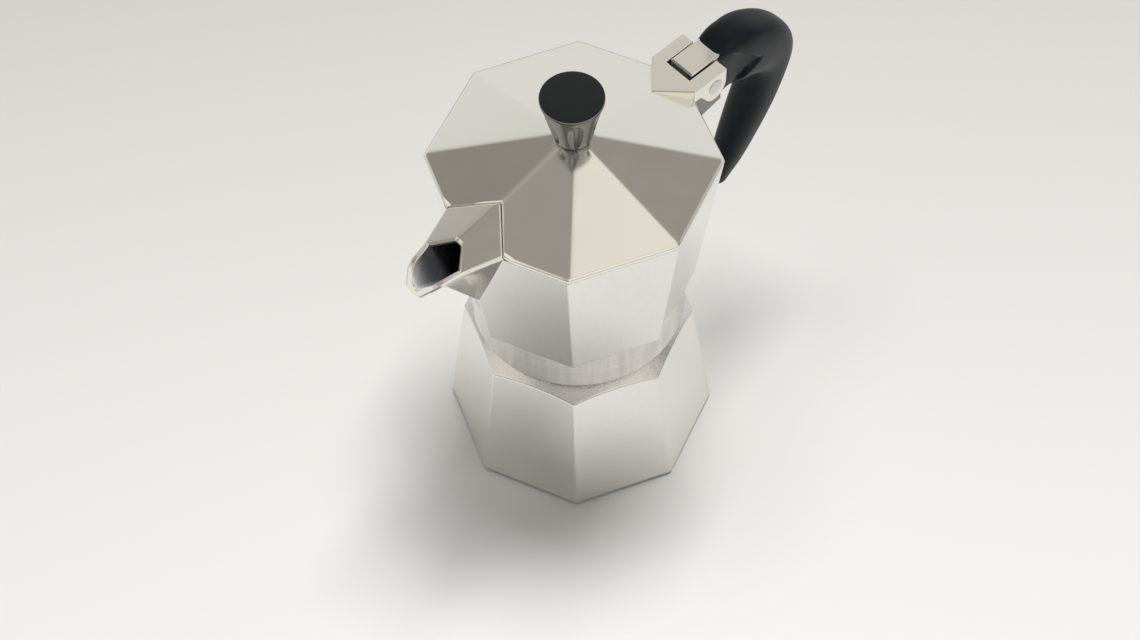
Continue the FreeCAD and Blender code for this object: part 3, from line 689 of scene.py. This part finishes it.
def hingeLeaf(h):
    # A house-shaped plate with a slot, and two ears whose lower edge is an arc of an ellipse round the pin
    # that runs out in a short slant under the plate.
    a = np.linspace(0, -np.radians(h["earEnd"]), h["arcSteps"])
    arc = coords(h["pin"][0] + h["ear"] * np.cos(a), h["pin"][1] + h["earDeep"] * np.sin(a))
    arc = join([arc, [(h["slantEnd"], h["bottom"])]])
    n = len(arc)
    top, low = h["top"], h["bottom"]

    def sidePoints(side):
        outer, slot = side * h["half"], side * h["slot"]
        plate = [(h["shoulder"], outer, top), (h["end"], outer, top), (h["end"], slot, top),
                 (h["slotTop"], slot, top), (h["slotLow"], slot, low), (h["shoulder"], outer, low)]
        return join([plate, np.insert(arc, 1, outer, axis=1), np.insert(arc, 1, slot, axis=1)])

    points = join([[(h["apex"], 0, top), (h["apex"], 0, low)], sidePoints(-1), sidePoints(1)])

    def sideFaces(first):
        s, e, i, c, cb, sb = range(first, first + 6)
        out = np.arange(first + 6, first + 6 + n)
        inn = out + n
        strip = np.stack([out[:-1], out[1:], inn[1:], inn[:-1]], -1)
        return [[s, sb, *out[::-1].tolist(), e], [i, *inn.tolist(), cb, c], [e, int(out[0]), int(inn[0]), i],
                [0, 1, sb, s]] + strip.tolist()

    r, q = 2, 8 + 2 * n
    lastOut, lastInn = 5 + n, 5 + 2 * n
    plateFaces = [[0, r, r + 1, r + 2, r + 3, q + 3, q + 2, q + 1, q], [r + 3, r + 4, q + 4, q + 3],
                  [1, q + 5, q + lastOut, q + lastInn, q + 4, r + 4, r + lastInn, r + lastOut, r + 5]]
    return points, sideFaces(r) + sideFaces(q) + plateFaces


leafPiece = makePiece("hingeLeaf", hingeLeaf(leaf), "lid", [lidMetal], bevel=leaf["edge"],
                      turnOut=True)
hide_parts("lid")

# peened ends of the hinge pin: radius and height over the ear, from the rim to the middle
pinHead = {"face": 9.8, "cols": 48, "profile": np.array([
    (0, -0.05), (2.75, -0.05), (2.73, 0.08), (2.62, 0.22), (2.42, 0.30), (2.15, 0.26), (1.85, 0.12),
    (1.55, 0.02), (1.3, 0), (1.05, 0.10), (0.8, 0.24), (0.5, 0.34), (0.2, 0.38), (0, 0.38)])}


def pinHeads(d):
    # a dished disc with a raised middle, spun round the pin's axis, once on each ear
    a = 2 * np.pi * np.arange(d["cols"]) / d["cols"]
    r, h = d["profile"][:, :1], d["profile"][:, 1:]
    x, z = leaf["pin"][0] + r * np.cos(a), leaf["pin"][1] + r * np.sin(a)
    side = np.array([-1, 1])[:, None, None]
    points = np.stack(np.broadcast_arrays(x, side * (d["face"] + h + 0 * x), z), -1)
    faces = gridFaces(len(r), d["cols"])
    return points, join([faces, faces + len(r) * d["cols"]])


makePiece("pinHeads", pinHeads(pinHead), "lid", [headMetal], turnOut=True)


# knob

# radius of the knob's body against height over its foot, then radius and height of the disc on top
knobProfile = np.array([
    (0, 5.55), (0.15, 5.72), (0.5, 5.88), (1.2, 6.07), (2.6, 6.40), (5, 6.95), (9, 7.87), (13, 8.79),
    (16.5, 9.6)])
knobDisc = np.array([
    (9.62, 164.02), (9.8, 164.3), (9.9, 164.65), (9.9, 165.4), (9.8, 165.78), (9.54, 166.04), (9.05, 166.15),
    (5.94, 166.2), (0, 166.2)])
knob = {"foot": 147.41, "discLow": 163.9, "flutes": 6, "turn": -6, "fluteHalf": 2.5, "fluteDeep": 1.6,
        "fluteTop": 0.95, "fluteShare": 0.7, "fluteCols": 10, "landFrom": 0.76, "landCols": 5, "rows": 48,
        "leafScale": 2.07, "leafPowers": (0.7, 0.45), "depthPower": 0.8, "cutPower": 1.1, "leastWide": 0.008,
        "matteRows": 6}


def knobBody(d):
    # A turned body cut by leaf-shaped scoops, pointed at the foot and arched at the top: up the height v a
    # scoop's width follows a power of v times one of 1-v and its depth a power of that, and across it the cut
    # is 1 less a power of u. Columns follow the scoops' edges.
    sector, inFlute = np.pi / d["flutes"], d["fluteShare"]
    c = join([np.linspace(0, inFlute, d["fluteCols"]), np.linspace(d["landFrom"], 1, d["landCols"])])
    c = join([-c[:0:-1], c[:-1]])
    # rows crowd towards the top of the scoops
    up = d["fluteTop"] * np.sin(np.linspace(0, np.pi / 2, d["rows"]))
    up = join([up, np.linspace(d["fluteTop"], 1, 4)[1:]])[:, None]
    bodyHeight = d["discLow"] - d["foot"]
    stations = knobProfile[:, 0] * bodyHeight / knobProfile[-1, 0]
    radius = smoothCurve(stations, knobProfile[:, 1:], up[:, 0] * bodyHeight)
    v = np.clip(up / d["fluteTop"], 0, 1)
    leafShape = d["leafScale"] * v ** d["leafPowers"][0] * (1 - v) ** d["leafPowers"][1]
    wide = d["fluteHalf"] * leafShape / radius + d["leastWide"]
    a = np.abs(c)[None]
    onLand = wide + (a - inFlute) / (1 - inFlute) * (sector - wide)
    phi = np.where(a < inFlute, a / inFlute * wide, onLand) * np.sign(c)
    u = np.minimum(a / inFlute, 1)
    cut = d["fluteDeep"] * leafShape ** d["depthPower"] * (1 - u ** d["cutPower"])
    body = coords(phi, radius - cut, d["foot"] + bodyHeight * up + 0 * c)
    disc = coords(*np.broadcast_arrays(c * sector, knobDisc[:, :1], knobDisc[:, 1:]))
    start = body[:1] * np.array([1, 0, 1])
    profile = join([start, body, disc])[:, None]
    turn = profile[..., 0] + (2 * sector * np.arange(d["flutes"]) + np.radians(d["turn"]))[:, None]
    points = spin(np.broadcast_to(profile[..., 1:], turn.shape + (2,)), turn).reshape(len(profile), -1, 3)
    rows, cols = points.shape[:2]
    # the flat top is matte, the rest is glossy
    look = np.where(np.repeat(np.arange(rows - 1), cols) > rows - d["matteRows"], 1, 0)
    return points, gridFaces(rows, cols), look


knobPiece = makePiece("knobBody", knobBody(knob), "lid", [knobGloss, knobMatte], sharp=28)
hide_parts("knob")


# handle

# stations along the centre line: x, z, half depth, half width, squareness outside and inside
handleStations = np.array([
    (59.2, 131, 10.05, 5.2, 7, 7), (66, 132.4, 10.9, 7.2, 3.4, 4.8),
    (73, 130.4, 10.5, 7.8, 2.9, 4.8), (80, 125.4, 9.8, 7.6, 2.7, 4.2), (84.2, 118.5, 9.1, 7, 2.7, 3.4),
    (83.4, 110, 7.8, 6.8, 2.7, 2.9), (79.6, 100.5, 6.8, 6.9, 2.7, 2.7), (75.2, 91.2, 6, 6.5, 2.6, 2.6),
    (71, 82.5, 5.3, 5.7, 2.6, 2.6), (67.3, 75, 4.5, 4.7, 2.5, 2.5), (64.2, 69.2, 3.6, 3.6, 2.4, 2.4),
    (63, 67, 2.7, 2.7, 2.2, 2.2), (62.4, 65.9, 1.3, 1.3, 2, 2)])
# hollow on each side of the neck: upper and lower edge as x, z
neckUpper = np.array([(59, 140.6), (61.5, 140), (66, 137.4), (72.2, 130.8), (75, 128.2)])
neckLower = np.array([(59, 120.2), (63.7, 122.3), (67.6, 125), (72, 127.3), (75, 128)])
# "From", "To" and "Side": where the hollow starts to fade, in X or as a share of the half width, and over
# how much. "middling": a middling section's depth over width, and its power.
handle = {"neckRows": 70, "gripRows": 110, "neckLength": 24, "cols": 128, "hollow": 1.1,
          "hollowEdge": (0.9, 1.4), "hollowFrom": (60, 8), "hollowTo": (75, 2),
          "hollowSide": (0.45, 0.4), "slit": ((65.4, 125), (68.4, 127.2)), "slitHalf": 0.5, "slitDeep": 0.9,
          "tip": (-0.3, 0, -0.6), "middling": (1.4, 0.7)}


def squared(wave, power):
    # one coordinate of a superellipse
    return np.sign(wave) * np.abs(wave) ** power


def handleGrip(h):
    # A superellipse section carried along the centre line, squarer at the lug and along the inner edges. On
    # each side of the neck a hollow between two curves is pressed in, with a slit along a straight line.
    steps = np.hypot(*np.diff(handleStations[:, :2], axis=0).T)
    knots = join([[0], np.cumsum(steps)])
    at = join([np.linspace(0, h["neckLength"], h["neckRows"], endpoint=False),
               np.linspace(h["neckLength"], knots[-1], h["gripRows"])])
    curve = smoothCurve(knots, handleStations[:, :4], at)
    centre = curve[:, :2]
    ahead = np.gradient(centre, at, axis=0)
    ahead[0] = (1, 0)
    ahead /= np.linalg.norm(ahead, axis=1, keepdims=True)
    out = coords(-ahead[:, 1], ahead[:, 0])
    # angles at even steps along the outline of a middling section
    dense = np.linspace(0, 2 * np.pi, 2001)
    deep, power = h["middling"]
    shape = np.stack([deep * squared(np.cos(dense), power), squared(np.sin(dense), power)])
    length = join([[0], np.cumsum(np.hypot(*np.diff(shape, axis=1)))])
    a = np.interp(np.arange(h["cols"]) / h["cols"], length / length[-1], dense)
    c, s = np.cos(a)[None], np.sin(a)[None]
    outer, inner = (np.interp(at, knots, handleStations[:, k])[:, None] for k in (4, 5))
    power = 2 / np.where(c > 0, outer, inner)
    u, v = squared(c, power) * curve[:, 2:3], squared(s, power) * curve[:, 3:4]
    x, z = centre[:, :1] + out[:, :1] * u, centre[:, 1:] + out[:, 1:] * u
    above = np.interp(x, *neckUpper.T) - z
    below = z - np.interp(x, *neckLower.T)
    hollow = eased01(above / h["hollowEdge"][0]) * eased01(below / h["hollowEdge"][1])
    (fromX, fadeIn), (toX, fadeOut) = h["hollowFrom"], h["hollowTo"]
    hollow = h["hollow"] * hollow * eased01((x - fromX) / fadeIn) * eased01((toX - x) / fadeOut)
    start, end = np.array(h["slit"])
    span = end - start
    share = np.clip(((x - start[0]) * span[0] + (z - start[1]) * span[1]) / (span @ span), 0, 1)
    gap = np.hypot(x - start[0] - share * span[0], z - start[1] - share * span[1])
    slit = h["slitDeep"] * np.exp(-(gap / h["slitHalf"]) ** 2)
    onSide = eased01((np.abs(v) / curve[:, 3:4] - h["hollowSide"][0]) / h["hollowSide"][1])
    v = v - np.sign(v) * (hollow + slit) * onSide
    points = coords(x, v, z)
    first = np.broadcast_to(points[0].mean(0), points[0].shape)[None]
    tip = np.broadcast_to(points[-1].mean(0) + np.array(h["tip"]), points[0].shape)[None]
    points = join([first, points, tip])
    return points, gridFaces(len(points), h["cols"])[:, ::-1]


handlePiece = makePiece("handleGrip", handleGrip(handle), "collector", [handleResin],
                        sharp=50)
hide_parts("handle")


# valve spring: a point on the valve's axis, its direction, the coil's ends along it and the plunger's travel
spring = {"foot": (14.45, 34.88, 34), "aim": (0.379678, 0.916625, 0.125072), "low": -4, "high": 4.15,
          "radius": 2.1, "wire": 0.3, "turns": 6, "travel": 1.5, "perTurn": 24, "wireSides": 10}


def coilSpring(s):
    # A round wire carried along a helix about the valve's axis: angle and distance grow together.
    aim = np.array(s["aim"])
    side = np.cross(aim, (0, 0, 1))
    side /= np.linalg.norm(side)
    lift = np.cross(aim, side)
    t = np.linspace(0, 1, s["perTurn"] * s["turns"] + 1)[:, None, None]
    w = (2 * np.pi * np.arange(s["wireSides"]) / s["wireSides"])[None, :, None]
    a = 2 * np.pi * s["turns"] * t
    out = (np.cos(a) * side + np.sin(a) * lift) * (s["radius"] + s["wire"] * np.cos(w))
    axial = s["low"] + (s["high"] - s["low"]) * t + s["wire"] * np.sin(w)
    points = np.array(s["foot"]) + out + aim * axial
    rows, cols = points.shape[:2]
    ring = np.arange(cols)
    return points, gridFaces(rows, cols).tolist() + [ring.tolist(), (ring + (rows - 1) * cols).tolist()]


springPiece = makePiece("valveCoil", coilSpring(spring), "boiler", [pinMetal], sharp=50,
                        turnOut=True)
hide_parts("valve_spring")
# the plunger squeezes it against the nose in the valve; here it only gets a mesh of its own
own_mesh(springPiece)


# finishes for the parts that keep their own mesh

finishes = {
    "riser_column": lidMetal, "funnel": spunMetal, "funnel_disc": spunMetal, "filter_plate": spunMetal,
    "gasket": sealRubber, "valve_seal": valveRubber, "hinge_pin": pinMetal, "handle_pin": pinMetal,
    "knob_screw": pinMetal, "knob_washer": pinMetal, "knob_insert": valveMetal, "valve_body": valveMetal,
    "valve_retainer": valveMetal, "valve_plunger": valveMetal, "valve_washer": valveMetal}
for name, finish in finishes.items():
    nodes[name].data.materials.clear()
    nodes[name].data.materials.append(finish)
# turned edges of the valve and the riser are broken
for name, width in (("valve_body", 0.35), ("valve_plunger", 0.25), ("riser_column", 0.3)):
    breakEdges(nodes[name], "broken edges", width, segments=2, degrees=35)
print("finishes set on", len(finishes), "nodes")


# stage, lights and camera

# sizes from here on are in metres, and this is the level direction away from the camera
away = (0.66, 0.75, 0)
# the far colour is painted shade that the floor fades to with distance
stage = {"near": "#F6F6F5", "far": "#C4C2BF", "fade": (-0.1, 0.3), "half": 3, "drop": 0.0002}
floorMesh = bpy.data.meshes.new("floor")
floorMesh.from_pydata([(x * stage["half"], y * stage["half"], -stage["drop"])
                       for x, y in ((-1, -1), (1, -1), (1, 1), (-1, 1))], [], [(0, 1, 2, 3)])
floor = bpy.data.objects.new("floor", floorMesh)
link(floor)
# Painted board: matte, with painted shade that makes it darker with distance.
floorMat, floorTree, floorBsdf, floorWhere = newMaterial("painted board pale", {
    "Roughness": 0.9, "Specular IOR Level": 0.1})
far = addNode(floorTree, "VectorMath", {"operation": "DOT_PRODUCT", 1: away}, {0: floorWhere})
fade = addNode(floorTree, "MapRange", {1: stage["fade"][0], 2: stage["fade"][1]}, {0: far.outputs["Value"]})
shade = addNode(floorTree, "Mix", {
    "data_type": "RGBA", 6: linear(stage["near"]), 7: linear(stage["far"])}, {0: fade})
floorTree.links.new(shade.outputs[2], floorBsdf.inputs["Base Color"])
floorMesh.materials.append(floorMat)

# A room: pale walls, brightest behind the pot, and a dimmer ceiling. Each glow has an aim, the cosines where
# it starts and is full, and the level it adds.
room = {"nearWall": 0.32, "wall": 0.82, "ceiling": 0.33, "fill": 0.38, "wallTone": "#FFFEFC",
        "ceilingTone": "#FFFAF1", "wallFade": (-0.1, 0.5), "upAim": (-0.15, 0, 1), "upFade": (0.44, 0.66)}
ceilingGlows = {
    "panel": ((0.29, -0.19, 0.938), 0.956, 0.976, 0.58),
    "back panel": ((0.36, 0.41, 0.84), 0.955, 0.985, 0.34),
    "front panel": ((-0.36, -0.414, 0.836), 0.87, 0.96, 0.22),
    "left corner, pale half": ((-0.098, 0.252, 0.963), 0.955, 0.985, 0.022),
    "left corner, dim half": ((-0.047, 0.647, 0.761), 0.955, 0.985, -0.042),
    "strip between the halves": ((-0.072, 0.46, 0.885), 0.985, 0.995, 0.09)}
wallGlows = {
    "window on the right": ((0.08, -0.80, 0.595), 0.82, 0.93, 0.55),
    "panel on the left": ((-0.71, 0.36, 0.605), 0.86, 0.95, 0.60)}
world = bpy.data.worlds.new("soft room")
bpy.context.scene.world = world
world.use_nodes = True
sky = world.node_tree
sky.nodes.clear()
direction = addNode(sky, "TexCoord").outputs["Generated"]


def towards(aim, low, high, first, last):
    # a level that eases from first to last as a direction turns towards an aim
    near = addNode(sky, "VectorMath", {"operation": "DOT_PRODUCT", 1: aim}, {0: direction})
    step = {"interpolation_type": "SMOOTHSTEP", 1: low, 2: high, 3: first, 4: last}
    return addNode(sky, "MapRange", step, {0: near.outputs["Value"]})


def withGlows(level, glows):
    # the level with every glow added to it
    for aim, low, high, glow in glows.values():
        spot = towards(aim, low, high, 0, glow)
        level = addNode(sky, "Math", {"operation": "ADD"}, {0: level, 1: spot})
    return level


walls = towards(away, *room["wallFade"], room["nearWall"], room["wall"])
overhead = towards(room["upAim"], *room["upFade"], 0, 1)
ceiling = addNode(sky, "Value")
ceiling.outputs[0].default_value = room["ceiling"]
shell = addNode(sky, "Mix", {"data_type": "FLOAT"}, {
    0: overhead, 2: walls, 3: withGlows(ceiling, ceilingGlows)})
level = withGlows(shell, wallGlows)
# the eye and the mirrors see the room as it is, while less of it fills the shadows
path = addNode(sky, "LightPath").outputs
seen = path["Is Camera Ray"]
for kind in ("Is Glossy Ray", "Is Transmission Ray"):
    seen = addNode(sky, "Math", {"operation": "MAXIMUM"}, {0: seen, 1: path[kind]})
share = addNode(sky, "MapRange", {3: room["fill"], 4: 1}, {0: seen})
level = addNode(sky, "Math", {"operation": "MULTIPLY"}, {0: level, 1: share})
tone = addNode(sky, "Mix", {
    "data_type": "RGBA", 6: linear(room["wallTone"]), 7: linear(room["ceilingTone"])}, {0: overhead})
background = addNode(sky, "Background", links={"Color": tone.outputs[2], "Strength": level})
addNode(sky, "OutputWorld", links={0: background})

# two soft boxes high on the right and behind, kept out of the metal's reflections
softBoxes = {
    "soft box right": {"place": (0.336, 0.109, 1.663), "size": 0.5, "watts": 20.5},
    "soft box back": {"place": (-0.057, 0.465, 1.634), "size": 0.42, "watts": 3.2}}
for name, box in softBoxes.items():
    lamp = bpy.data.lights.new(name, "AREA")
    lamp.size, lamp.energy, lamp.color = box["size"], box["watts"], linear(room["wallTone"])[:3]
    lampPiece = bpy.data.objects.new(name, lamp)
    link(lampPiece)
    lampPiece.location = box["place"]
    lampPiece.rotation_euler = (-Vector(box["place"])).to_track_quat("-Z", "Y").to_euler()
    lampPiece.visible_glossy = False

cameraData = bpy.data.cameras.new("camera")
camera = bpy.data.objects.new("camera", cameraData)
link(camera)
# right, up and backward directions, and the place in metres
camera.matrix_world = Matrix((
    (0.73384, 0.57616, -0.35989, -0.2925),
    (-0.67903, 0.60636, -0.41383, -0.33179),
    (-0.0202, 0.54806, 0.8362, 0.72064),
    (0, 0, 0, 1)))
view = {"sensor": 36, "focalPixels": 2400, "widthPixels": 1140}
cameraData.sensor_width = view["sensor"]
cameraData.lens = view["sensor"] * view["focalPixels"] / view["widthPixels"]
bpy.context.scene.camera = camera
bpy.context.scene.view_settings.view_transform = "Standard"
print("stage, lights and camera set")
